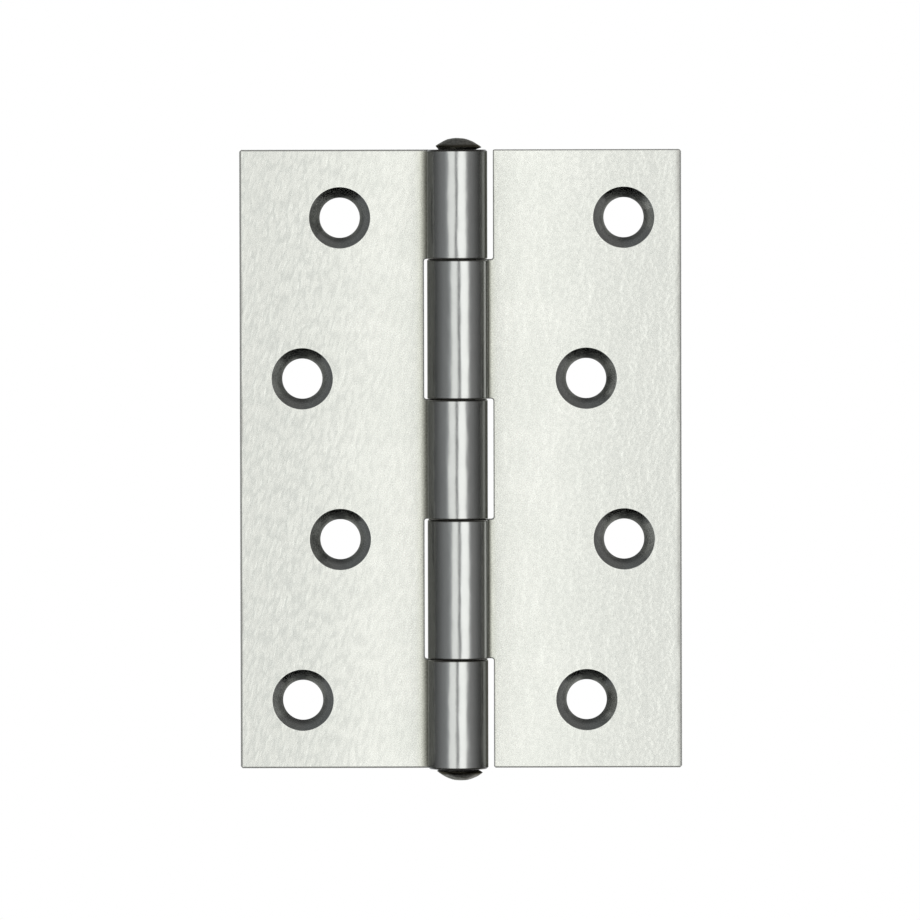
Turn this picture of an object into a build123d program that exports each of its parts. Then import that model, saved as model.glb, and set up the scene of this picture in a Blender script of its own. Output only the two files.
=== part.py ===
from build123d import *
import os
from math import asin, degrees, isclose

os.makedirs("parts", exist_ok=True)

# Butt hinge of pressed steel, lying open and flat, upright as it hangs on a door.
# The pin's axis is Z, and the origin is on it at mid-height. The left leaf runs along -X
# and the right leaf along +X. The knuckles stand out to the front, which is -Y, and the
# flat backs of both leaves, which seat on the wood, face +Y.

# Sheet and leaves, in millimetres
leaf_height = 100.0
sheet = 2.3
left_reach = 35.2
right_reach = 36.2
edge_chamfer = 0.2

# Pin and its heads
pin_diameter = 5.0
running_clearance = 0.08
head_diameter = 7.5
head_seat_diameter = 6.1
head_rim_height = 0.5
head_height = 1.9

# Knuckles and the slots beside them
middle_knuckle = 19.25
right_knuckle = 22.45
knuckle_gap = 0.15
seam_gap = 0.15
left_slot_clearance = 0.5
right_slot_clearance = 0.9
slot_corner = 0.5

# Countersunk screw holes, in a zigzag down each leaf
screws_per_leaf = 4
screw_bore = 6.5
countersink_diameter = 9.9
countersink_angle = 100.0
screw_pitch = 26.0
row_stagger = 6.1
left_inner_row = 19.0
right_inner_row = 20.8

# Sizes that follow from the ones above
half_height = leaf_height / 2
bore_radius = pin_diameter / 2 + running_clearance
knuckle_radius = bore_radius + sheet
curl_end = degrees(asin((bore_radius - seam_gap) / knuckle_radius))
middle_end = middle_knuckle / 2
right_low = middle_end + knuckle_gap
right_high = right_low + right_knuckle
end_low = right_high + knuckle_gap
overrun = 2 * slot_corner
top_screw = screw_pitch * (screws_per_leaf - 1) / 2
screw_heights = [top_screw - screw_pitch * index for index in range(screws_per_leaf)]


def leaf_section(side: int, reach: float) -> Sketch:
    """Section across the pin: the flat sheet along the back and its curl round the pin."""
    sweep = side * (270 + curl_end)
    with BuildSketch() as section:
        with BuildLine():
            outside = CenterArc((0, 0), knuckle_radius, 90, sweep)
            inside = CenterArc((0, 0), bore_radius, 90, sweep)
            Line(outside @ 1, inside @ 1)
            Polyline(
                outside @ 0,
                (side * reach, knuckle_radius),
                (side * reach, bore_radius),
                inside @ 0,
            )
        make_face()
    return section.sketch


def knuckle_slot(side: int, clearance: float, low: float, high: float) -> Sketch:
    """Slot from beside the other leaf's knuckle, across the pin and out past the curl."""
    near = side * (knuckle_radius + clearance)
    far = -side * (knuckle_radius + overrun)
    with BuildSketch(Plane.XZ) as slot:
        with Locations(((near + far) / 2, (low + high) / 2)):
            RectangleRounded(abs(near - far), high - low, slot_corner)
    return slot.sketch


def sheared_edges(leaf: BuildPart) -> ShapeList[Edge]:
    """Edges of the flat faces and of the knuckles' ends, without the smooth line at the curl."""
    flats = leaf.faces().filter_by(Axis.Y).edges().filter_by(GeomType.LINE)
    arcs = leaf.edges().filter_by(GeomType.CIRCLE)
    outline = flats.filter_by(lambda edge: abs(edge.center().X) > edge_chamfer)
    return outline + arcs.filter_by(lambda arc: isclose(arc.radius, knuckle_radius))


# Left leaf, with the middle knuckle and both end knuckles
with BuildPart() as left_leaf:
    extrude(leaf_section(-1, left_reach), amount=half_height, both=True)
    for low, high in ((middle_end, end_low), (-end_low, -middle_end)):
        slot = knuckle_slot(-1, left_slot_clearance, low, high)
        extrude(slot, amount=knuckle_radius + overrun, both=True, mode=Mode.SUBTRACT)
    chamfer(sheared_edges(left_leaf), edge_chamfer)
    with Locations(Plane.XZ.offset(-bore_radius)):
        for index, height in enumerate(screw_heights):
            row = left_inner_row + row_stagger * (index % 2)
            with Locations((-row, height)):
                CounterSinkHole(screw_bore / 2, countersink_diameter / 2, sheet, countersink_angle)
left_leaf.part.label = "left_leaf"
export_step(left_leaf.part, "parts/left_leaf.step")

# Right leaf, with the two knuckles between
with BuildPart() as right_leaf:
    extrude(leaf_section(1, right_reach), amount=half_height, both=True)
    past_end = half_height + overrun
    for low, high in ((right_high, past_end), (-right_low, right_low), (-past_end, -right_high)):
        slot = knuckle_slot(1, right_slot_clearance, low, high)
        extrude(slot, amount=knuckle_radius + overrun, both=True, mode=Mode.SUBTRACT)
    chamfer(sheared_edges(right_leaf), edge_chamfer)
    with Locations(Plane.XZ.offset(-bore_radius)):
        for index, height in enumerate(screw_heights):
            row = right_inner_row + row_stagger * ((index + 1) % 2)
            with Locations((row, height)):
                CounterSinkHole(screw_bore / 2, countersink_diameter / 2, sheet, countersink_angle)
right_leaf.part.label = "right_leaf"
export_step(right_leaf.part, "parts/right_leaf.step")

# Pin, with a head riveted over each end knuckle
with BuildPart() as hinge_pin:
    with BuildSketch(Plane.XZ):
        with BuildLine():
            rim = (head_diameter / 2, half_height + head_rim_height)
            crown = (0, half_height + head_height)
            Polyline(
                crown,
                (0, 0),
                (pin_diameter / 2, 0),
                (pin_diameter / 2, half_height),
                (head_seat_diameter / 2, half_height),
                rim,
            )
            TangentArc(crown, rim, tangent=(1, 0))
        make_face()
    revolve(axis=Axis.Z)
    mirror(about=Plane.XY)
hinge_pin.part.label = "hinge_pin"
export_step(hinge_pin.part, "parts/hinge_pin.step")
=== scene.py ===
"""Butt hinge of bright plated steel, open and flat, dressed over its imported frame.

Two leaves of pressed sheet are rolled round one pin, which is riveted over at both ends.
The pin's axis is Z, the knuckles stand out to the front (-Y) and the backs face +Y.
"""

import logging
import math
from collections.abc import Callable
from dataclasses import dataclass
from enum import Enum

import bmesh
import bpy
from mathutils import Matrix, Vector


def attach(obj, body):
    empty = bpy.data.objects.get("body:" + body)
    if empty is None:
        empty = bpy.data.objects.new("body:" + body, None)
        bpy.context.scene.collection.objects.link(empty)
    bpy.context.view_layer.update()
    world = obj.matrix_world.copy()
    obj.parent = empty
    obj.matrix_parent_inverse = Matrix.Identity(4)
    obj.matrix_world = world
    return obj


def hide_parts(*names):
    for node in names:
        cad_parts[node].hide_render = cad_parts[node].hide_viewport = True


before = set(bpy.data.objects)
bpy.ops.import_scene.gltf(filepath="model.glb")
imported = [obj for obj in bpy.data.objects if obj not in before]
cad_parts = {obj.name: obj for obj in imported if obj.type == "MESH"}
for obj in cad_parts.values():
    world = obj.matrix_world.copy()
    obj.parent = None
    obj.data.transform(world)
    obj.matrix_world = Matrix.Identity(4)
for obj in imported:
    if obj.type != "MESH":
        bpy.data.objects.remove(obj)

log = logging.getLogger("hinge")

MM = 0.001
# Two numbers, such as the values at which a mask is 0 and 1
Span = tuple[float, float]
Colour = tuple[float, float, float]
Object = bpy.types.Object
Socket = bpy.types.NodeSocket
Sockets = bpy.types.bpy_prop_collection
Inputs = dict[str | int, object]

# Values between which most of a noise lies
NOISE_SPAN: Span = (0.3, 0.7)


class Side(Enum):
    """Which way a leaf runs from the pin, as the sign of X."""

    LEFT = -1
    RIGHT = 1


class Element(Enum):
    """Kind of mesh element that is selected in edit mode."""

    EDGE = "EDGE"
    FACE = "FACE"


class Bench:
    """Hand tools of the modelling bench: selection, modes and modifiers."""

    merge: float = 1e-7
    sharp_angle: float = math.radians(28)
    smooth_angle: float = math.radians(35)
    edge_profile: float = 0.32
    flat_weight: int = 80
    facing: float = 0.9

    @staticmethod
    def clear() -> None:
        """Leave edit mode and deselect every object."""
        if bpy.context.object and bpy.context.object.mode != "OBJECT":
            bpy.ops.object.mode_set(mode="OBJECT")
        bpy.ops.object.select_all(action="DESELECT")

    @staticmethod
    def select(piece: Object) -> None:
        """Select one piece alone and make it the active one.

        Args:
            piece: Piece that is worked on next.
        """
        Bench.clear()
        piece.select_set(True)
        bpy.context.view_layer.objects.active = piece

    @staticmethod
    def take(name: str) -> Object:
        """Name the object that was just added and put its place into its mesh.

        Args:
            name: Name of the object and of its mesh.

        Returns:
            The object, at the origin, unturned and unscaled.
        """
        piece = bpy.context.object
        piece.name = piece.data.name = name
        bpy.ops.object.transform_apply(location=True, rotation=True, scale=True)
        return piece

    @staticmethod
    def edit(piece: Object) -> None:
        """Select one piece alone and enter its edit mode."""
        Bench.select(piece)
        bpy.ops.object.mode_set(mode="EDIT")

    @staticmethod
    def pick(piece: Object, kind: Element, wanted: Callable[..., bool]) -> None:
        """Select the edges or faces of the edited piece that pass a test of their place.

        Args:
            piece: Piece in edit mode.
            kind: Edges or faces.
            wanted: Test of one element.
        """
        bpy.ops.mesh.select_mode(type=kind.value)
        bpy.ops.mesh.select_all(action="DESELECT")
        shape = bmesh.from_edit_mesh(piece.data)
        for element in shape.edges if kind is Element.EDGE else shape.faces:
            if wanted(element):
                element.select_set(True)
        shape.select_flush_mode()
        bmesh.update_edit_mesh(piece.data)

    @staticmethod
    def face_out(piece: Object) -> None:
        """Merge doubled points and turn every face outwards.

        Args:
            piece: Closed piece that is cleaned.
        """
        Bench.edit(piece)
        bpy.ops.mesh.select_all(action="SELECT")
        bpy.ops.mesh.remove_doubles(threshold=Bench.merge)
        bpy.ops.mesh.normals_make_consistent(inside=False)
        Bench.clear()

    @staticmethod
    def modify(piece: Object, kind: str, **settings: object) -> None:
        """Add one modifier, set it and apply it.

        Args:
            piece: Piece that is modified.
            kind: Blender's modifier type.
            settings: Values of the modifier's properties.
        """
        Bench.select(piece)
        modifier = piece.modifiers.new(kind.lower(), kind)
        for key, value in settings.items():
            setattr(modifier, key, value)
        bpy.ops.object.modifier_apply(modifier=modifier.name)

    @staticmethod
    def cut(piece: Object, cutter: Object) -> None:
        """Cut one closed shape out of a piece and throw the cutter away."""
        Bench.modify(piece, "BOOLEAN", object=cutter, operation="DIFFERENCE", solver="EXACT",
                     material_mode="TRANSFER")
        bpy.data.objects.remove(cutter)

    @staticmethod
    def break_edges(
        piece: Object,
        radius_of: Callable[[Vector, Vector], float],
        widest: float,
        segments: int,
        slot: int,
    ) -> None:
        """Round the sharp edges of a piece, each by its own radius.

        Args:
            piece: Piece whose edges are rounded.
            radius_of: Radius in metres for the edge between two points, 0 to keep it.
            widest: Largest radius in use, in metres.
            segments: Steps in each rounding.
            slot: Material slot of the new faces, or -1 for the neighbours' own.
        """
        mesh = piece.data
        shape = bmesh.new()
        shape.from_mesh(mesh)
        weight = shape.edges.layers.float.new("bevel_weight_edge")
        for edge in shape.edges:
            if len(edge.link_faces) == 2 and edge.calc_face_angle() > Bench.sharp_angle:
                edge[weight] = radius_of(edge.verts[0].co, edge.verts[1].co) / widest
        shape.to_mesh(mesh)
        shape.free()
        Bench.modify(piece, "BEVEL", limit_method="WEIGHT", width=widest, segments=segments,
                     profile=Bench.edge_profile, material=slot, use_clamp_overlap=False,
                     miter_outer="MITER_ARC")
        mesh.attributes.remove(mesh.attributes["bevel_weight_edge"])

    @staticmethod
    def smooth(piece: Object) -> None:
        """Shade the roundings smooth and keep the flats flat.

        Args:
            piece: Piece with all its edges broken.
        """
        Bench.select(piece)
        bpy.ops.object.shade_smooth_by_angle(angle=Bench.smooth_angle)
        Bench.modify(piece, "WEIGHTED_NORMAL", weight=Bench.flat_weight, keep_sharp=True)


class Nodes:
    """Node tree of one material or of the world, filled node by node."""

    def __init__(self, tree: bpy.types.NodeTree) -> None:
        """Start from an empty tree."""
        self.tree = tree
        self.tree.nodes.clear()

    def add(self, kind: str, inputs: Inputs | None = None, **settings: object) -> bpy.types.Node:
        """Add one node, set its properties and fill or link its inputs.

        Args:
            kind: Blender's node type.
            inputs: Constant or socket for each named input.
            settings: Values of the node's own properties.

        Returns:
            The new node.
        """
        node = self.tree.nodes.new(kind)
        for key, value in settings.items():
            setattr(node, key, value)
        for key, value in (inputs or {}).items():
            if isinstance(value, Socket):
                self.tree.links.new(value, node.inputs[key])
            else:
                node.inputs[key].default_value = value
        return node

    def split(self, place: Socket) -> Sockets:
        """Split coordinates into sockets named X, Y and Z."""
        return self.add("ShaderNodeSeparateXYZ", {0: place}).outputs

    def math(self, operation: str, *values: float | Socket) -> Socket:
        """Add one Math node and return its result."""
        return self.add("ShaderNodeMath", dict(enumerate(values)), operation=operation).outputs[0]

    def product(self, first: Socket, *others: float | Socket) -> Socket:
        """Multiply a number by others, one after another.

        Args:
            first: Number to start from.
            others: Numbers that it is multiplied by.

        Returns:
            The product.
        """
        result = first
        for other in others:
            result = self.math("MULTIPLY", result, other)
        return result

    def ramp(self, value: Socket, low: float, high: float, start: float = 0.0,
             end: float = 1.0) -> Socket:
        """Ease a value from one range into another.

        Args:
            value: Number that is mapped.
            low: Value at which the result is start.
            high: Value at which the result is end.
            start: Result on the far side of low.
            end: Result on the far side of high.

        Returns:
            The mapped number.
        """
        spans = {"Value": value, "From Min": low, "From Max": high, "To Min": start, "To Max": end}
        return self.add("ShaderNodeMapRange", spans, interpolation_type="SMOOTHSTEP").outputs[0]

    def within(self, value: Socket, rise: Span, fall: Span) -> Socket:
        """Give 1 inside a band of values, between two spans."""
        return self.product(self.ramp(value, *rise), self.ramp(value, *fall))

    def mix(self, share: Socket, first: float | Socket, second: float | Socket) -> Socket:
        """Mix two numbers by a share from 0 to 1 and return the result."""
        return self.add("ShaderNodeMix", {0: share, 2: first, 3: second}).outputs[0]

    def blend(self, share: Socket, first: Colour | Socket, second: Colour | Socket) -> Socket:
        """Mix two colours.

        Args:
            share: Share of the second colour, from 0 to 1.
            first: Colour at share 0.
            second: Colour at share 1.

        Returns:
            The mixed colour.
        """
        inputs: Inputs = {0: share}
        for key, colour in ((6, first), (7, second)):
            inputs[key] = colour if isinstance(colour, Socket) else (*colour, 1.0)
        return self.add("ShaderNodeMix", inputs, data_type="RGBA").outputs[2]

    def noise(self, place: Socket, scale: float, detail: float = 2.0,
              roughness: float = 0.5) -> Socket:
        """Add a noise of so many grains to the metre and return its number."""
        grain = {"Vector": place, "Scale": scale, "Detail": detail, "Roughness": roughness}
        return self.add("ShaderNodeTexNoise", grain).outputs[0]

    def stretch(self, place: Socket, scale: Colour, lean: float = 0.0) -> Socket:
        """Turn coordinates about Y, then scale them along each axis.

        Args:
            place: Coordinates.
            scale: Factors along X, Y and Z.
            lean: Angle of the turn in degrees.

        Returns:
            The stretched coordinates.
        """
        rotation = (0.0, math.radians(lean), 0.0)
        turned = self.add("ShaderNodeMapping", {"Vector": place, "Rotation": rotation}).outputs[0]
        return self.add("ShaderNodeMapping", {"Vector": turned, "Scale": scale}).outputs[0]

    def reach(self, place: Socket) -> Socket:
        """Give the distance of a place from the pin's axis."""
        across = self.add("ShaderNodeVectorMath", {0: place, 1: (1.0, 1.0, 0.0)},
                          operation="MULTIPLY").outputs[0]
        return self.add("ShaderNodeVectorMath", {0: across}, operation="LENGTH").outputs["Value"]

    def joint_line(self, height: Socket, joints: Span, core: float, fade: float) -> Socket:
        """Give 1 on the lines where two knuckles meet, above and below the middle alike.

        Args:
            height: Coordinate along the pin.
            joints: Heights of the two joints above the middle.
            core: Distance from a joint to which the value stays 1.
            fade: Distance from a joint at which the value is 0.

        Returns:
            Socket of the value.
        """
        centre, spread = (joints[0] + joints[1]) / 2, (joints[1] - joints[0]) / 2
        folded = self.math("ABSOLUTE", self.math("SUBTRACT", self.math("ABSOLUTE", height), centre))
        return self.ramp(self.math("ABSOLUTE", self.math("SUBTRACT", folded, spread)), fade, core)

    def bump(self, height: Socket, depth: float, under: Socket | None = None) -> Socket:
        """Raise a relief on the surface.

        Args:
            height: Relief, from 0 to 1.
            depth: Height of the relief in metres.
            under: Normal of a relief that lies below this one, if any.

        Returns:
            Normal of the surface with the relief.
        """
        relief: Inputs = {"Height": height, "Distance": depth, "Strength": 1.0}
        if under is not None:
            relief["Normal"] = under
        return self.add("ShaderNodeBump", relief).outputs[0]


class MetalFinish:
    """Base of the finishes: a metal that gets colour, roughness and relief from nodes."""

    name: str
    graze: float = 1.0

    def material(self) -> bpy.types.Material:
        """Make the material once and return it each time it is asked for.

        Returns:
            The material.
        """
        found = bpy.data.materials.get(self.name)
        if found:
            return found
        made = bpy.data.materials.new(self.name)
        made.use_nodes = True
        nodes = Nodes(made.node_tree)
        place = nodes.add("ShaderNodeTexCoord").outputs["Object"]
        coat = self.paint(nodes, place)
        metal = nodes.add("ShaderNodeBsdfPrincipled", {
            "Metallic": 1.0, "Specular Tint": (self.graze, self.graze, self.graze, 1.0), **coat})
        nodes.add("ShaderNodeOutputMaterial", {"Surface": metal.outputs[0]})
        return made

    def paint(self, nodes: Nodes, place: Socket) -> Inputs:
        """Make the shader's inputs that vary over this finish."""
        raise NotImplementedError


@dataclass(frozen=True)
class BrightPlating(MetalFinish):
    """Satin plating of the leaf, smoother where the sheet is rolled into a knuckle."""

    name: str
    knuckle_radius: float
    reach: float
    streak_lean: float
    streak_near: float
    streak_far: float
    streak_stretch: float
    stain_and_shade_start: float
    stain_and_shade_end: float
    dark_margin: float
    joints: Span
    # Strength of the painted highlight line on the right flank
    glint: float

    pale: Colour = (0.945, 0.955, 0.90)
    dull: Colour = (0.90, 0.915, 0.86)
    # Tone towards the outer edge
    outer_tone: Colour = (0.73, 0.74, 0.70)
    # Painted relief shade in the hollows between the streaks
    hollow_shade: Colour = (0.66, 0.675, 0.64)
    margin: Colour = (0.40, 0.40, 0.375)
    tarnish: Colour = (0.90, 0.91, 0.765)
    back: Colour = (0.745, 0.755, 0.72)
    back_dull: Colour = (0.71, 0.72, 0.685)
    # Painted relief shade on the back
    back_hollow_shade: Colour = (0.65, 0.66, 0.63)
    rolled: Colour = (0.545, 0.553, 0.545)
    # Painted shade on the flanks of the knuckles
    flank_shade: Colour = (0.138, 0.14, 0.133)
    # Seam colour: stain on the joint lines, painted shade in the crevice and along the seam of the
    # sheet
    seam_stain_and_shade: Colour = (0.10, 0.10, 0.085)

    face_roughness: Span = (0.255, 0.285)
    knuckle_roughness: Span = (0.17, 0.21)
    face_metallic: float = 0.47
    knuckle_metallic: float = 0.90
    graze: float = 0.4

    # Grains to the metre, and depths of relief
    streak_grain: float = 1500.0
    fine_grain: float = 3200.0
    cloud_grain: float = 110.0
    ripple_grain: float = 900.0
    ripple_stretch: Colour = (1.0, 1.0, 0.5)
    wave_grain: float = 480.0
    wave_stretch: Colour = (1.0, 1.0, 0.35)
    streak_depth: float = 0.065 * MM
    fine_depth: float = 0.0006 * MM
    ripple_depth: float = 0.012 * MM
    wave_depth: float = 0.055 * MM

    # Spans of noise
    fine_span: Span = (0.25, 0.75)
    cloud_span: Span = (0.36, 0.64)
    hollow_shade_span: Span = (0.62, 0.34)
    back_span: Span = (0.66, 0.36)

    # Places on the sheet and round the knuckle
    flat_start: float = 0.05 * MM
    flat_end: float = 0.7 * MM
    back_start: float = 1.2 * MM
    back_end: float = 0.4 * MM
    tarnish_width: float = 0.9 * MM
    margin_wander: float = 1.2 * MM
    # Band of painted shade on the knuckle flanks, and the painted highlight and crevice shade on
    # the right flank
    flank_shade_slope: float = 0.07
    flank_shade_rise: Span = (-4.4 * MM, -2.6 * MM)
    flank_shade_fall: Span = (1.6 * MM, 0.2 * MM)
    right_flank: Span = (3.0 * MM, 3.6 * MM)
    glint_rise: Span = (-2.75 * MM, -2.35 * MM)
    glint_fall: Span = (-1.75 * MM, -2.1 * MM)
    crevice_shade_rise: Span = (-1.85 * MM, -1.5 * MM)
    oil_core: float = 0.20 * MM
    oil_fade: float = 0.36 * MM

    def paint(self, nodes: Nodes, place: Socket) -> Inputs:
        """Make the colour, the roughness, the metal's share and the normal of the plating.

        Args:
            nodes: Tree that is filled.
            place: Object coordinates.

        Returns:
            Socket for each of the shader's inputs.
        """
        edge = self.knuckle_radius
        reach, parts = nodes.reach(place), nodes.split(place)
        flat = nodes.ramp(reach, edge + self.flat_start, edge + self.flat_end)
        outward = nodes.ramp(reach, edge, self.reach)
        leaning = nodes.stretch(place, (1.0, 1.0, self.streak_stretch), self.streak_lean)
        streaks = nodes.noise(leaning, self.streak_grain, 1.0)
        strength = nodes.ramp(outward, 0.0, 1.0, self.streak_near, self.streak_far)
        # Painted relief shade: the hollows between the streaks are darkened in colour as well as
        # sunk by the bump
        hollow_shading = nodes.product(nodes.ramp(streaks, *self.hollow_shade_span), strength)
        grain = nodes.noise(place, self.fine_grain, 2.0, 0.6)
        ripple = nodes.noise(nodes.stretch(place, self.ripple_stretch), self.ripple_grain, 1.5)
        waves = nodes.noise(nodes.stretch(place, self.wave_stretch), self.wave_grain, 1.0)

        flank_shading, crevice_shade = self.shade_flanks(nodes, parts["X"], parts["Y"])
        oiled = nodes.joint_line(parts["Z"], self.joints, self.oil_core, self.oil_fade)
        # Painted shade: the flanks of the knuckles are darkened from the rolled colour
        barrel = nodes.blend(flank_shading, self.rolled, self.flank_shade)
        # Painted shade in the crevice beside the highlight line, and dark joint lines between the
        # knuckles, both in the seam colour
        barrel = nodes.blend(nodes.math("MAXIMUM", crevice_shade, oiled), barrel, self.seam_stain_and_shade)
        behind = nodes.ramp(parts["Y"], edge - self.back_start, edge - self.back_end)
        cloud = nodes.noise(place, self.cloud_grain, 3.0, 0.6)
        front = self.front(nodes, reach, cloud, hollow_shading)
        rear = nodes.blend(nodes.ramp(cloud, *self.back_span), self.back, self.back_dull)
        sheet = nodes.blend(behind, front, nodes.blend(hollow_shading, rear, self.back_hollow_shade))
        # Stain and painted shade darken the sheet next to the barrel, where it meets the knuckle
        clear_of_seam = nodes.math("MAXIMUM", nodes.ramp(reach, self.stain_and_shade_start, self.stain_and_shade_end), behind)
        sheet = nodes.blend(clear_of_seam, self.seam_stain_and_shade, sheet)

        satin = nodes.ramp(grain, *self.fine_span, *self.face_roughness)
        polish = nodes.ramp(ripple, *NOISE_SPAN, *self.knuckle_roughness)
        bare = nodes.ramp(crevice_shade, 0.0, 1.0, self.knuckle_metallic, 1.0)
        normal = nodes.bump(ripple, self.ripple_depth, nodes.bump(waves, self.wave_depth))
        normal = nodes.bump(nodes.product(grain, flat), self.fine_depth, normal)
        hammered = nodes.product(streaks, strength, flat)
        return {
            "Base Color": nodes.blend(flat, barrel, sheet),
            "Roughness": nodes.mix(flat, polish, satin),
            "Metallic": nodes.mix(flat, bare, self.face_metallic),
            "Normal": nodes.bump(hammered, self.streak_depth, normal),
        }

    def front(self, nodes: Nodes, reach: Socket, cloud: Socket, hollow_shading: Socket) -> Socket:
        """Colour the front of the sheet from its tarnished seam to the dark band along its outer
        edge, with painted relief shade in the streaks' hollows.

        Args:
            nodes: Tree that is filled.
            reach: Distance from the pin's axis.
            cloud: Broad noise.
            hollow_shading: Share of the painted relief shade in the hollows between the streaks.

        Returns:
            Colour of the front.
        """
        front = nodes.blend(nodes.ramp(cloud, *self.cloud_span), self.dull, self.pale)
        # Darker towards the outer edge of the sheet
        front = nodes.blend(nodes.ramp(reach, self.knuckle_radius, self.reach), front, self.outer_tone)
        front = nodes.blend(hollow_shading, front, self.hollow_shade)
        # A band along the outer edge is darkened, its width wandering with the cloud noise
        wander = nodes.math("MULTIPLY_ADD", cloud, self.margin_wander, reach)
        margin_end = self.reach + self.margin_wander / 2
        dark_margin = nodes.ramp(wander, margin_end - self.dark_margin, margin_end)
        front = nodes.blend(nodes.product(dark_margin, dark_margin), front, self.margin)
        tarnished = nodes.ramp(reach, self.stain_and_shade_end + self.tarnish_width, self.knuckle_radius)
        return nodes.blend(tarnished, front, self.tarnish)

    def shade_flanks(self, nodes: Nodes, x: Socket, y: Socket) -> tuple[Socket, Socket]:
        """Find the painted shade on the flanks of the knuckles, lifted by a painted highlight line
        on the right flank.

        Args:
            nodes: Tree that is filled.
            x: Coordinate along the leaf.
            y: Coordinate from front to back.

        Returns:
            Share of painted flank shade, and share of the painted crevice shade beside the
            highlight line.
        """
        slanted_depth = nodes.math("MULTIPLY_ADD", nodes.math("MAXIMUM", x, 0.0), self.flank_shade_slope, y)
        right = nodes.ramp(x, *self.right_flank)
        # Painted highlight: the flank shade is lifted in a band on the right flank, standing in for
        # a reflection of the leaf
        glint = nodes.product(right, self.glint, nodes.within(y, self.glint_rise, self.glint_fall))
        flank_shading = nodes.product(nodes.ramp(slanted_depth, *self.flank_shade_rise), nodes.ramp(y, *self.flank_shade_fall),
                              nodes.math("SUBTRACT", 1.0, glint))
        return flank_shading, nodes.product(right, flank_shading, nodes.ramp(y, *self.crevice_shade_rise))


@dataclass(frozen=True)
class ShearedSteel(MetalFinish):
    """Cut edge of the sheet: a burnished band at the front and a torn one behind."""

    name: str
    front: float
    back: float
    burnished: Colour = (0.50, 0.505, 0.48)
    torn: Colour = (0.30, 0.30, 0.285)
    oil: Colour = (0.055, 0.053, 0.048)
    metallic: float = 0.65
    roughness: Span = (0.22, 0.32)
    torn_roughness: float = 0.15
    burnished_share: float = 0.4
    tear_grain: float = 400.0
    tear_wander: float = 0.5 * MM
    tear_blend: float = 0.4 * MM
    drag_grain: float = 4000.0
    drag_stretch: Colour = (1.0, 0.12, 1.0)
    pit_grain: float = 3500.0
    depth: float = 0.02 * MM
    oil_rise: Span = (-0.6 * MM, -0.3 * MM)
    oil_fall: Span = (1.2 * MM, 0.3 * MM)

    def paint(self, nodes: Nodes, place: Socket) -> Inputs:
        """Make the colour, the roughness and the normal of the cut edge.

        Args:
            nodes: Tree that is filled.
            place: Object coordinates.

        Returns:
            Socket for each of the shader's inputs.
        """
        wander = nodes.noise(place, self.tear_grain)
        shifted = nodes.math("MULTIPLY_ADD", wander, self.tear_wander, nodes.split(place)["Y"])
        burnish_end = self.front + (self.back - self.front) * self.burnished_share
        tear = nodes.ramp(shifted, burnish_end, burnish_end + self.tear_blend)
        drag = nodes.noise(nodes.stretch(place, self.drag_stretch), self.drag_grain)
        pits = nodes.noise(place, self.pit_grain, 3.0)
        beside = nodes.math("SUBTRACT", nodes.reach(place), self.back)
        oiled = nodes.within(beside, self.oil_rise, self.oil_fall)
        colour = nodes.blend(oiled, nodes.blend(tear, self.burnished, self.torn), self.oil)
        ground = nodes.ramp(pits, *NOISE_SPAN, *self.roughness)
        return {
            "Base Color": colour,
            "Roughness": nodes.math("MULTIPLY_ADD", tear, self.torn_roughness, ground),
            "Metallic": self.metallic,
            "Normal": nodes.bump(nodes.mix(tear, drag, pits), self.depth),
        }


@dataclass(frozen=True)
class TurnedSteel(MetalFinish):
    """Countersink and bore of a screw hole, with fine rings from the cutter."""

    name: str
    foot: float
    bright: Colour = (0.80, 0.81, 0.785)
    dark: Colour = (0.64, 0.65, 0.63)
    # Painted shade towards the countersink's foot and in the bore
    shade: Colour = (0.30, 0.305, 0.295)
    bore: Colour = (0.12, 0.12, 0.115)
    graze: float = 0.25
    roughness: Span = (0.21, 0.15)
    patch_grain: float = 700.0
    ring_grain: float = 9000.0
    ring_stretch: Colour = (0.05, 1.0, 0.05)
    ring_depth: float = 0.001 * MM
    shade_start: float = 0.9 * MM
    shade_end: float = 0.2 * MM
    bore_blend: float = 0.1 * MM

    def paint(self, nodes: Nodes, place: Socket) -> Inputs:
        """Make the colour, the roughness and the normal of the turned steel.

        Args:
            nodes: Tree that is filled.
            place: Object coordinates.

        Returns:
            Socket for each of the shader's inputs.
        """
        rings = nodes.noise(nodes.stretch(place, self.ring_stretch), self.ring_grain)
        patches = nodes.noise(place, self.patch_grain)
        depth = nodes.split(place)["Y"]
        # Painted shade: the cone darkens towards its foot and the bore is near black
        shaded = nodes.ramp(depth, self.foot - self.shade_start, self.foot - self.shade_end)
        bored = nodes.ramp(depth, self.foot - self.bore_blend, self.foot)
        colour = nodes.blend(nodes.ramp(patches, *NOISE_SPAN), self.dark, self.bright)
        colour = nodes.blend(shaded, colour, self.shade)
        return {
            "Base Color": nodes.blend(bored, colour, self.bore),
            "Roughness": nodes.ramp(patches, *NOISE_SPAN, *self.roughness),
            "Normal": nodes.bump(rings, self.ring_depth),
        }


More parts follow.
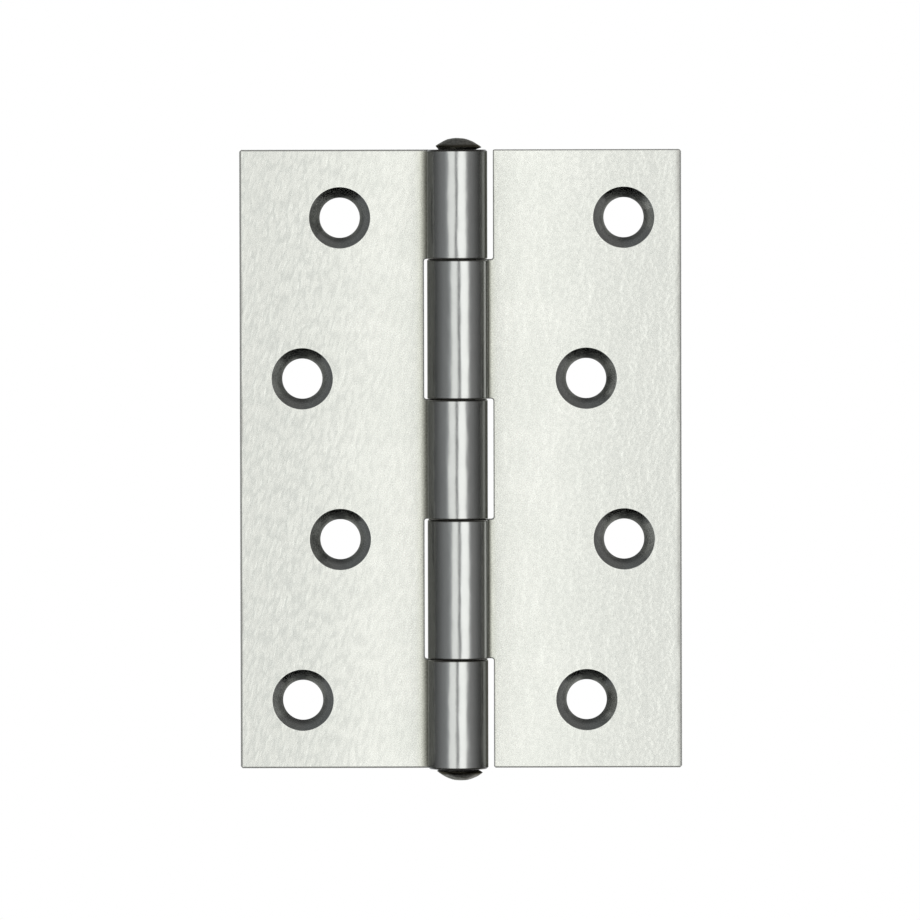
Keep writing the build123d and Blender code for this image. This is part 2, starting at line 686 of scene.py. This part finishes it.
@dataclass(frozen=True)
class PeenedSteel(MetalFinish):
    """Bare steel of the pin, dulled by the hammer at its riveted heads, grimy at their rims."""

    name: str
    seat: float
    light: Colour = (0.74, 0.73, 0.67)
    dark: Colour = (0.48, 0.47, 0.42)
    grimy: Colour = (0.20, 0.185, 0.14)
    graze: float = 0.3
    roughness: Span = (0.28, 0.44)
    dent_grain: float = 1400.0
    dent_span: Span = (0.35, 0.65)
    dent_depth: float = 0.03 * MM
    scale_grain: float = 3600.0
    scale_depth: float = 0.008 * MM
    rim_rise: Span = (0.25 * MM, 0.45 * MM)
    rim_fall: Span = (1.0 * MM, 0.6 * MM)

    def paint(self, nodes: Nodes, place: Socket) -> Inputs:
        """Make the colour, the roughness and the normal of the pin.

        Args:
            nodes: Tree that is filled.
            place: Object coordinates.

        Returns:
            Socket for each of the shader's inputs.
        """
        dents = nodes.noise(place, self.dent_grain)
        scale = nodes.noise(place, self.scale_grain, 3.0)
        height = nodes.math("ABSOLUTE", nodes.split(place)["Z"])
        rim = nodes.within(nodes.math("SUBTRACT", height, self.seat), self.rim_rise, self.rim_fall)
        colour = nodes.blend(nodes.ramp(dents, *self.dent_span), self.dark, self.light)
        dented = nodes.bump(dents, self.dent_depth)
        return {
            "Base Color": nodes.blend(rim, colour, self.grimy),
            "Roughness": nodes.ramp(scale, *NOISE_SPAN, *self.roughness),
            "Normal": nodes.bump(scale, self.scale_depth, dented),
        }


@dataclass(frozen=True)
class Roll:
    """Sizes that both leaves share, in metres."""

    half_height: float = 50.0 * MM
    sheet: float = 2.3 * MM
    bore_radius: float = 2.58 * MM
    seam_gap: float = 0.15 * MM
    steps: int = 120
    slot_corner: float = 0.35 * MM
    corner_steps: int = 8
    overrun: float = 1.0 * MM

    @property
    def knuckle_radius(self) -> float:
        """Outside radius of a knuckle."""
        return self.bore_radius + self.sheet

    @property
    def curl(self) -> float:
        """Angle in radians through which the sheet is rolled."""
        closing = math.asin((self.bore_radius - self.seam_gap) / self.knuckle_radius)
        return math.radians(270) + closing


@dataclass(frozen=True)
class Drill:
    """Sizes of the countersunk screw holes, in metres and degrees."""

    bore_radius: float = 3.25 * MM
    sink_radius: float = 4.95 * MM
    sink_angle: float = 100.0
    steps: int = 96
    overrun: float = 0.4 * MM
    margin: float = 0.2 * MM
    rim: float = 0.08 * MM
    step: float = 0.03 * MM
    rim_steps: int = 2

    @property
    def slope(self) -> float:
        """Growth of the countersink's radius towards its mouth."""
        return math.tan(math.radians(self.sink_angle / 2))


@dataclass(frozen=True)
class Breaks:
    """Radii to which the edges of a leaf are broken, in metres."""

    outer: float = 0.34 * MM
    top: float = 0.2 * MM
    bottom: float = 0.26 * MM
    slot: float = 0.2 * MM
    knuckle_end: float = 0.3 * MM
    seam: float = 0.12 * MM

    @property
    def widest(self) -> float:
        """Largest of the radii."""
        return max(vars(self).values())


@dataclass
class Leaf:
    """One leaf: a flat sheet whose edge is rolled into knuckles round the pin."""

    name: str
    body: str
    node: str
    side: Side
    reach: float
    slots: tuple[Span, ...]
    slot_clearance: float
    screws: tuple[Span, ...]
    out_of_round: float
    plating: MetalFinish
    sheared: MetalFinish
    turned: MetalFinish
    shrink: float = 0.015 * MM
    settle_angle: float = 50.0
    edge_steps: int = 4
    near: float = 0.02 * MM
    roll: Roll = Roll()
    drill: Drill = Drill()
    breaks: Breaks = Breaks()

    def build(self) -> Object:
        """Model the leaf in the order in which it is made.

        Returns:
            The finished piece.
        """
        leaf = self.blank()
        self.dress(leaf)
        self.score(leaf)
        self.curl(leaf)
        for low, high in self.slots:
            Bench.cut(leaf, self.slot_punch(low, high))
        Bench.cut(leaf, self.drill_bits())
        Bench.face_out(leaf)
        Bench.break_edges(leaf, self.rim_radius, self.drill.rim, self.drill.rim_steps, -1)
        Bench.break_edges(leaf, self.edge_radius, self.breaks.widest, self.edge_steps, 1)
        self.settle(leaf)
        Bench.face_out(leaf)
        Bench.smooth(leaf)
        return leaf

    def blank(self) -> Object:
        """Lay the flat sheet against the back of the pin.

        Returns:
            The flat blank.
        """
        Bench.clear()
        middle = self.roll.bore_radius + self.roll.sheet / 2
        bpy.ops.mesh.primitive_cube_add(
            size=1, location=(self.side.value * self.reach / 2, middle, 0),
            scale=(self.reach, self.roll.sheet, 2 * self.roll.half_height))
        return Bench.take(self.name)

    def dress(self, leaf: Object) -> None:
        """Give the blank its finishes, one to a slot."""
        for finish in (self.plating, self.sheared, self.turned):
            leaf.data.materials.append(finish.material())

    def score(self, leaf: Object) -> None:
        """Score the blank across the screw holes, so that each cut leaves simple faces.

        Args:
            leaf: Flat blank.
        """
        Bench.edit(leaf)
        for x, z in self.screws:
            for across in ((1, 0, 0), (0, 0, 1)):
                bpy.ops.mesh.select_all(action="SELECT")
                bpy.ops.mesh.bisect(plane_co=(x, 0, z), plane_no=across)
        Bench.clear()

    def curl(self, leaf: Object) -> None:
        """Roll the inner edge of the sheet round the pin.

        Args:
            leaf: Flat blank.
        """
        Bench.edit(leaf)
        sign = self.side.value
        Bench.pick(leaf, Element.FACE, lambda face: face.normal.x * sign < -Bench.facing)
        bpy.ops.mesh.spin(steps=self.roll.steps, angle=self.roll.curl,
                          center=(0, 0, 0), axis=(0, 0, -sign))
        Bench.face_out(leaf)

    def slot_punch(self, low: float, high: float) -> Object:
        """Make the punch that clears the room of one of the other leaf's knuckles.

        Args:
            low: Lower end of the slot.
            high: Upper end of the slot.

        Returns:
            The punch, with rounded corners.
        """
        Bench.clear()
        sign, radius = self.side.value, self.roll.knuckle_radius
        near = sign * (radius + self.slot_clearance)
        far = -sign * (radius + self.roll.overrun)
        size = (abs(near - far), 2 * (radius + self.roll.overrun), high - low)
        bpy.ops.mesh.primitive_cube_add(size=1, location=((near + far) / 2, 0, (low + high) / 2),
                                        scale=size)
        punch = Bench.take("slot_punch")
        punch.data.materials.append(self.sheared.material())
        Bench.edit(punch)
        Bench.pick(punch, Element.EDGE,
                   lambda edge: abs(edge.verts[0].co.y - edge.verts[1].co.y) > radius)
        bpy.ops.mesh.bevel(offset=self.roll.slot_corner, segments=self.roll.corner_steps,
                           affect="EDGES")
        Bench.clear()
        return punch

    def drill_bits(self) -> Object:
        """Make the stepped bit of the first screw hole and copy it to the others.

        Returns:
            All the bits as one cutter.
        """
        Bench.clear()
        drill, (first_x, first_z) = self.drill, self.screws[0]
        mouth = drill.sink_radius + drill.overrun * drill.slope
        sink = (mouth - drill.bore_radius) / drill.slope
        through = self.roll.sheet + 2 * drill.overrun - sink
        bpy.ops.mesh.primitive_circle_add(
            vertices=drill.steps, radius=mouth, fill_type="NGON", rotation=(math.radians(90), 0, 0),
            location=(first_x, self.roll.bore_radius - drill.overrun, first_z))
        bit = Bench.take("drill_bit")
        bit.data.materials.append(self.turned.material())
        Bench.edit(bit)
        bpy.ops.mesh.select_all(action="SELECT")
        bpy.ops.mesh.extrude_region_move(TRANSFORM_OT_translate={"value": (0, sink, 0)})
        narrow = drill.bore_radius / mouth
        bpy.ops.transform.resize(value=(narrow, 1, narrow))
        bpy.ops.mesh.extrude_region_move(TRANSFORM_OT_translate={"value": (0, through, 0)})
        Bench.face_out(bit)
        copies = []
        for x, z in self.screws[1:]:
            Bench.select(bit)
            bpy.ops.object.duplicate_move(
                TRANSFORM_OT_translate={"value": (x - first_x, 0, z - first_z)})
            copies.append(Bench.take("drill_bit_copy"))
        Bench.select(bit)
        for copy in copies:
            copy.select_set(True)
        bpy.ops.object.join()
        return bit

    def edge_radius(self, start: Vector, end: Vector) -> float:
        """Give the radius to which one edge of the punched leaf is broken.

        Args:
            start: One end of the edge.
            end: Other end of the edge.

        Returns:
            Radius in metres.
        """
        near, ends = self.near, (start, end)
        if self.rim_radius(start, end) or self.in_hole(start):
            return 0.0
        level = abs(start.z - end.z) < near
        top = all(abs(point.z - self.roll.half_height) < near for point in ends)
        bottom = all(abs(point.z + self.roll.half_height) < near for point in ends)
        middle = (start + end) / 2
        flat = middle.x * self.side.value > 0 and middle.y > self.roll.bore_radius - near
        if all(abs(abs(point.x) - self.reach) < near for point in ends):
            return self.breaks.outer
        if not flat and not level:
            return self.breaks.seam
        if not flat and (top or bottom):
            return self.breaks.knuckle_end
        if top:
            return self.breaks.top
        return self.breaks.bottom if bottom else self.breaks.slot

    def rim_radius(self, start: Vector, end: Vector) -> float:
        """Give the radius to which one edge of a screw hole is broken, or 0 elsewhere.

        Args:
            start: One end of the edge.
            end: Other end of the edge.

        Returns:
            Radius in metres.
        """
        near, middle = self.near, (start + end) / 2
        if abs(start.y - end.y) > near or not self.in_hole(middle):
            return 0.0
        inside = self.roll.bore_radius + near < middle.y < self.roll.knuckle_radius - near
        return self.drill.step if inside else self.drill.rim

    def in_hole(self, point: Vector) -> bool:
        """Tell whether a point lies within the mouth of a screw hole."""
        mouth = self.drill.sink_radius + self.drill.margin
        return any(math.hypot(point.x - x, point.z - z) < mouth for x, z in self.screws)

    def settle(self, leaf: Object) -> None:
        """Let the rolled outside go a little out of round, as it leaves the roller.

        Args:
            leaf: Leaf with all its cuts made.
        """
        sign = self.side.value
        for point in leaf.data.vertices:
            x, y = point.co.x, point.co.y
            if x * sign > 0 and y > self.roll.bore_radius - self.near:
                continue
            radius = math.hypot(x, y)
            turned = math.atan2(-sign * x, y) % math.tau
            ease = min(1.0, turned / math.radians(self.settle_angle))
            sag = self.out_of_round * math.sin(2 * turned) - self.shrink
            sag = sag * ease * ease * (3 - 2 * ease)
            share = (radius - self.roll.bore_radius) / self.roll.sheet
            grown = 1 + sag * max(0.0, share) / radius
            point.co.x, point.co.y = x * grown, y * grown

    def place(self, leaf: Object) -> None:
        """Seat the finished leaf on its body in place of its CAD node.

        Args:
            leaf: Finished leaf.
        """
        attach(leaf, self.body)
        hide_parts(self.node)


@dataclass
class HingePin:
    """Pin through the knuckles, with a head riveted over each end."""

    name: str
    body: str
    node: str
    steel: MetalFinish
    radius: float = 2.5 * MM
    half_length: float = 50.0 * MM
    seat_radius: float = 3.0 * MM
    rim_radius: float = 3.74 * MM
    rim_height: float = 0.5 * MM
    rim_inset: float = 0.12 * MM
    rim_drop: float = 0.14 * MM
    head_height: float = 1.93 * MM
    steps: int = 64
    dome_steps: int = 9
    dome_share: float = 0.98
    dent_start: float = 0.3 * MM
    dent_depth: float = 0.10 * MM
    dent_size: float = 1.1 * MM
    head_lean: float = 2.0
    head_shift: float = 0.25 * MM

    def build(self) -> Object:
        """Draw the pin up from its middle, rivet its head and mirror it.

        Returns:
            The finished piece.
        """
        Bench.clear()
        bpy.ops.mesh.primitive_circle_add(vertices=self.steps, radius=self.radius, fill_type="NGON")
        pin = Bench.take(self.name)
        self.dress(pin)
        Bench.edit(pin)
        bpy.ops.mesh.select_all(action="SELECT")
        radius, height = self.radius, 0.0
        for next_radius, next_height in self.profile():
            bpy.ops.mesh.extrude_region_move(
                TRANSFORM_OT_translate={"value": (0, 0, next_height - height)})
            grow = next_radius / radius
            bpy.ops.transform.resize(value=(grow, grow, 1))
            radius, height = next_radius, next_height
        Bench.pick(pin, Element.FACE,
                   lambda face: abs(face.calc_center_median().z) < Bench.merge)
        bpy.ops.mesh.delete(type="ONLY_FACE")
        Bench.modify(pin, "MIRROR", use_axis=(False, False, True), use_mirror_merge=True)
        Bench.face_out(pin)
        self.peen(pin)
        Bench.smooth(pin)
        return pin

    def dress(self, pin: Object) -> None:
        """Give the pin its finish."""
        pin.data.materials.append(self.steel.material())

    def profile(self) -> list[Span]:
        """Give the radius and height of each ring from the shank to the crown.

        Returns:
            Rings in order.
        """
        top = self.half_length
        rise = self.head_height - self.rim_height
        rings = [(self.radius, top), (self.seat_radius, top),
                 (self.rim_radius - self.rim_inset, top + self.rim_height - self.rim_drop),
                 (self.rim_radius, top + self.rim_height)]
        dome = (self.rim_radius ** 2 + rise ** 2) / (2 * rise)
        spread = math.asin(self.rim_radius / dome)
        for step in range(1, self.dome_steps + 1):
            lean = spread * (1 - self.dome_share * step / self.dome_steps)
            rings.append((dome * math.sin(lean),
                          top + self.head_height - dome * (1 - math.cos(lean))))
        return rings

    def peen(self, pin: Object) -> None:
        """Sink hammer dents into both heads, then lean and shift them.

        Args:
            pin: Pin with smooth heads.
        """
        heads = pin.vertex_groups.new(name="heads")
        ring = self.half_length + self.dent_start
        heads.add([v.index for v in pin.data.vertices if abs(v.co.z) > ring], 1.0, "REPLACE")
        dents = bpy.data.textures.new("hammer_dents", "CLOUDS")
        dents.noise_scale = self.dent_size
        dents.noise_depth = 1
        Bench.modify(pin, "DISPLACE", texture=dents, texture_coords="LOCAL",
                     strength=self.dent_depth, mid_level=1.0, vertex_group="heads")
        lean = math.tan(math.radians(self.head_lean))
        for point in pin.data.vertices:
            share = min(1.0, max(0.0, abs(point.co.z) - self.half_length) / self.rim_height)
            point.co.z -= point.co.x * lean * share
            point.co.x += self.head_shift * share

    def place(self, pin: Object) -> None:
        """Seat the finished pin on its body in place of its CAD node.

        Args:
            pin: Finished pin.
        """
        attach(pin, self.body)
        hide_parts(self.node)


@dataclass(frozen=True)
class Softbox:
    """One soft lamp in front of the hinge, upright and facing it."""

    name: str
    left: float
    right: float
    level: float
    tint: Colour
    height: float = 1.5
    distance: float = 0.9

    def build(self) -> None:
        """Hang the lamp so that its face has the given brightness."""
        width = self.right - self.left
        lamp = bpy.data.lights.new(self.name, "AREA")
        lamp.shape = "RECTANGLE"
        lamp.size, lamp.size_y = width, self.height
        lamp.energy = self.level * math.pi * width * self.height
        lamp.color = self.tint
        box = bpy.data.objects.new(self.name, lamp)
        box.location = ((self.left + self.right) / 2, -self.distance, 0)
        box.rotation_euler = (math.radians(90), 0, 0)
        box.visible_camera = False
        bpy.context.scene.collection.objects.link(box)


@dataclass
class Studio:
    """Pale floor, white surround, soft lamps and the camera."""

    floor_drop: float = 0.13
    floor_radius: float = 0.8
    floor_steps: int = 96
    floor_grey: Colour = (0.93, 0.93, 0.93)
    camera_distance: float = 2.0
    camera_tilt: float = 1.6
    pixels_per_metre: float = 6186.0
    image_width: float = 920.0
    aim: Span = (0.50 * MM, -0.11 * MM)
    leaf_front: float = 2.58 * MM
    roll_degrees: float = 0.13
    lamps: tuple[Softbox, ...] = (
        Softbox("left_softbox", left=-0.53, right=-0.085, level=0.60, tint=(1.0, 0.98, 0.905)),
        Softbox("right_softbox", left=0.085, right=0.66, level=0.82, tint=(0.99, 1.0, 0.96)),
    )

    cool: Colour = (0.935, 0.975, 1.0)
    cool_side: Span = (0.3, -0.3)
    backdrop_depth: Span = (0.35, 0.75)
    backdrop_top: Span = (0.6, 0.25)
    backdrop_foot: Span = (-0.85, -0.45)
    room_levels: Span = (0.11, 0.225)
    room_depth: Span = (-0.1, -0.95)
    room_foot: Span = (-0.78, -0.62)
    floor_level: float = 0.15
    floor_height: Span = (-0.12, -0.35)
    floor_depth: Span = (-0.25, -0.55)
    glow_levels: Span = (0.49, 0.60)
    glow_turn: Span = (-0.1, 0.1)
    glow_left: Span = (-1.0, -0.3)
    glow_right: Span = (1.2, 0.4)
    glow_gap: Span = (0.06, 0.13)
    glow_height: Span = (0.62, 0.45)
    glow_depth: Span = (-0.3, -0.6)
    least_ahead: float = 0.05

    def build(self) -> None:
        """Set up the whole studio."""
        self.floor()
        self.surround()
        for lamp in self.lamps:
            lamp.build()
        self.camera()
        bpy.context.scene.view_settings.view_transform = "Standard"

    def floor(self) -> None:
        """Lay a plain pale floor that keeps the hinge's shadow and stays out of its gloss."""
        Bench.clear()
        bpy.ops.mesh.primitive_circle_add(vertices=self.floor_steps, radius=self.floor_radius,
                                          fill_type="NGON", location=(0, 0, -self.floor_drop))
        floor = Bench.take("floor")
        paint = bpy.data.materials.new("floor_paint")
        paint.use_nodes = True
        nodes = Nodes(paint.node_tree)
        matt = nodes.add("ShaderNodeBsdfDiffuse", {"Color": (*self.floor_grey, 1.0)})
        nodes.add("ShaderNodeOutputMaterial", {"Surface": matt.outputs[0]})
        floor.data.materials.append(paint)
        floor.visible_glossy = False
        floor.visible_shadow = False

    def surround(self) -> None:
        """Make the world white, with a dim room in front for the metal to mirror."""
        world = bpy.data.worlds.new("studio")
        bpy.context.scene.world = world
        world.use_nodes = True
        world.cycles.sampling_method = "NONE"
        nodes = Nodes(world.node_tree)
        parts = nodes.split(nodes.add("ShaderNodeTexCoord").outputs["Generated"])
        backdrop = nodes.product(nodes.ramp(parts["Y"], *self.backdrop_depth),
                                 nodes.ramp(parts["Z"], *self.backdrop_top),
                                 nodes.ramp(parts["Z"], *self.backdrop_foot))
        mirrored = nodes.mix(backdrop, self.room(nodes, parts), 1.0)
        glossy = nodes.add("ShaderNodeLightPath").outputs["Is Glossy Ray"]
        cooled = nodes.product(glossy, nodes.ramp(parts["X"], *self.cool_side))
        light = nodes.add("ShaderNodeBackground", {
            "Color": nodes.blend(cooled, (1.0, 1.0, 1.0), self.cool),
            "Strength": nodes.mix(glossy, 1.0, mirrored)})
        nodes.add("ShaderNodeOutputWorld", {"Surface": light.outputs[0]})

    def room(self, nodes: Nodes, parts: Sockets) -> Socket:
        """Light the room in front: dim walls, a paler floor and a glow round each lamp.

        Args:
            nodes: Tree of the world.
            parts: X, Y and Z of the direction that the metal mirrors.

        Returns:
            Brightness of the room.
        """
        ahead = nodes.math("MAXIMUM", nodes.math("MULTIPLY", parts["Y"], -1.0), self.least_ahead)
        slope = nodes.math("DIVIDE", parts["X"], ahead)
        glow = nodes.product(nodes.ramp(slope, *self.glow_turn, *self.glow_levels),
                             nodes.ramp(slope, *self.glow_left),
                             nodes.ramp(slope, *self.glow_right),
                             nodes.ramp(nodes.math("ABSOLUTE", slope), *self.glow_gap),
                             nodes.ramp(nodes.math("ABSOLUTE", parts["Z"]), *self.glow_height),
                             nodes.ramp(parts["Y"], *self.glow_depth))
        walls = nodes.ramp(parts["Y"], *self.room_depth, *self.room_levels)
        floor = nodes.product(nodes.ramp(parts["Z"], *self.floor_height, 0.0, self.floor_level),
                              nodes.ramp(parts["Y"], *self.floor_depth))
        front = nodes.math("ADD", nodes.math("ADD", walls, glow), floor)
        return nodes.product(front, nodes.ramp(parts["Z"], *self.room_foot))

    def camera(self) -> None:
        """Stand the camera square in front of the hinge, at the photograph's scale."""
        lens = bpy.data.cameras.new("camera")
        focal_pixels = self.pixels_per_metre * (self.camera_distance + self.leaf_front)
        lens.lens = focal_pixels / self.image_width * lens.sensor_width
        eye = bpy.data.objects.new("camera", lens)
        tilt = math.radians(self.camera_tilt)
        eye.location = (self.aim[0], -self.camera_distance * math.cos(tilt),
                        self.aim[1] + self.camera_distance * math.sin(tilt))
        eye.rotation_euler = (math.radians(90) - tilt, math.radians(self.roll_degrees), 0)
        bpy.context.scene.collection.objects.link(eye)
        bpy.context.scene.camera = eye


def make_leaves() -> tuple[Leaf, Leaf]:
    """Give both leaves, with the finishes that they share.

    Returns:
        The left leaf and the right leaf.
    """
    roll, drill = Roll(), Drill()
    sink = (drill.sink_radius - drill.bore_radius) / drill.slope
    left_reach, right_reach = 35.2 * MM, 36.2 * MM
    joints = (9.7 * MM, 32.3 * MM)
    heights = (39.0, 13.0, -13.0, -39.0)
    sheared = ShearedSteel("sheared_steel", front=roll.bore_radius, back=roll.knuckle_radius)
    turned = TurnedSteel("turned_steel", foot=roll.bore_radius + sink)
    left_plating = BrightPlating(
        name="left_plating", knuckle_radius=roll.knuckle_radius, reach=left_reach, joints=joints,
        streak_lean=-15.0, streak_near=0.25, streak_far=1.0, streak_stretch=0.36,
        stain_and_shade_start=5.38 * MM, stain_and_shade_end=6.8 * MM, dark_margin=0.5 * MM, glint=0.3)
    right_plating = BrightPlating(
        name="right_plating", knuckle_radius=roll.knuckle_radius, reach=right_reach, joints=joints,
        streak_lean=-14.0, streak_near=0.2, streak_far=0.55, streak_stretch=0.9,
        stain_and_shade_start=5.5 * MM, stain_and_shade_end=6.2 * MM, dark_margin=1.2 * MM, glint=0.9,
        seam_stain_and_shade=(0.025, 0.025, 0.018))
    left = Leaf(
        name="rolled_left_leaf", body="frame_side", node="left_leaf", side=Side.LEFT,
        reach=left_reach, slot_clearance=0.5 * MM,
        slots=((9.68 * MM, 32.32 * MM), (-32.32 * MM, -9.68 * MM)),
        screws=tuple((-x * MM, z * MM) for x, z in zip((19.0, 25.1, 19.0, 25.1), heights)),
        out_of_round=0.075 * MM, plating=left_plating, sheared=sheared, turned=turned)
    right = Leaf(
        name="rolled_right_leaf", body="door_side", node="right_leaf", side=Side.RIGHT,
        reach=right_reach, slot_clearance=0.9 * MM,
        slots=((32.28 * MM, 51.0 * MM), (-9.72 * MM, 9.72 * MM), (-51.0 * MM, -32.28 * MM)),
        screws=tuple((x * MM, z * MM) for x, z in zip((26.9, 20.8, 26.9, 20.8), heights)),
        out_of_round=0.145 * MM, plating=right_plating, sheared=sheared, turned=turned)
    return left, right


def main() -> None:
    """Build the hinge and its studio, and report each piece."""
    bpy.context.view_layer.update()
    steel = PeenedSteel("peened_steel", seat=HingePin.half_length)
    pin = HingePin("riveted_pin", "frame_side", "hinge_pin", steel)
    for part in (*make_leaves(), pin):
        piece = part.build()
        part.place(piece)
        log.info("%s: %d faces on %s", piece.name, len(piece.data.polygons), part.body)
    Studio().build()


if __name__ == "__main__":
    logging.basicConfig(level=logging.INFO, format="%(name)s: %(message)s")
    main()
